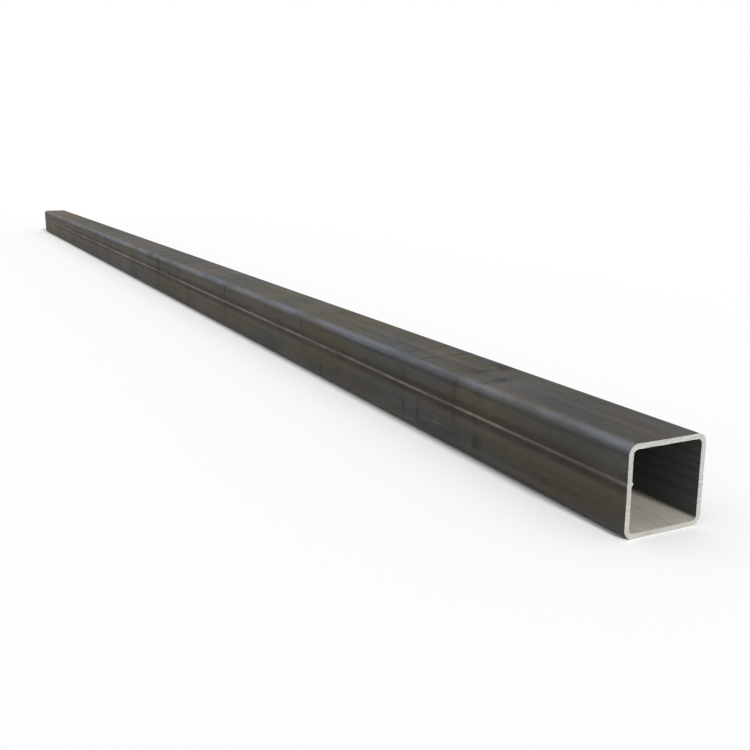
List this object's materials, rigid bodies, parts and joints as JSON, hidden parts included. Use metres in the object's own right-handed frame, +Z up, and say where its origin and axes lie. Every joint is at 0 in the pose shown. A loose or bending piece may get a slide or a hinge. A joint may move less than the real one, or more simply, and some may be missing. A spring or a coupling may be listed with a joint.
{
  "type": "square steel tube",
  "caption": "Straight square hollow section in dark mill-finish steel, with rounded corners, open sawn ends and a weld bead inside one wall: stock for frames, posts and rails.",
  "frame": {"origin": "middle of the lower face, halfway along the tube", "axes": "+X along the tube, +Z up, -Y out of the wall that holds the weld seam"},
  "size_m": [6, 0.14, 0.14],
  "materials": {
    "mill_steel": "dark mill scale with fine lengthwise roll marks, bright sawn ends and a light brown rust bloom"
  },
  "bodies": {
    "root": {"square_tube": "mill_steel"}
  },
  "joints": []
}
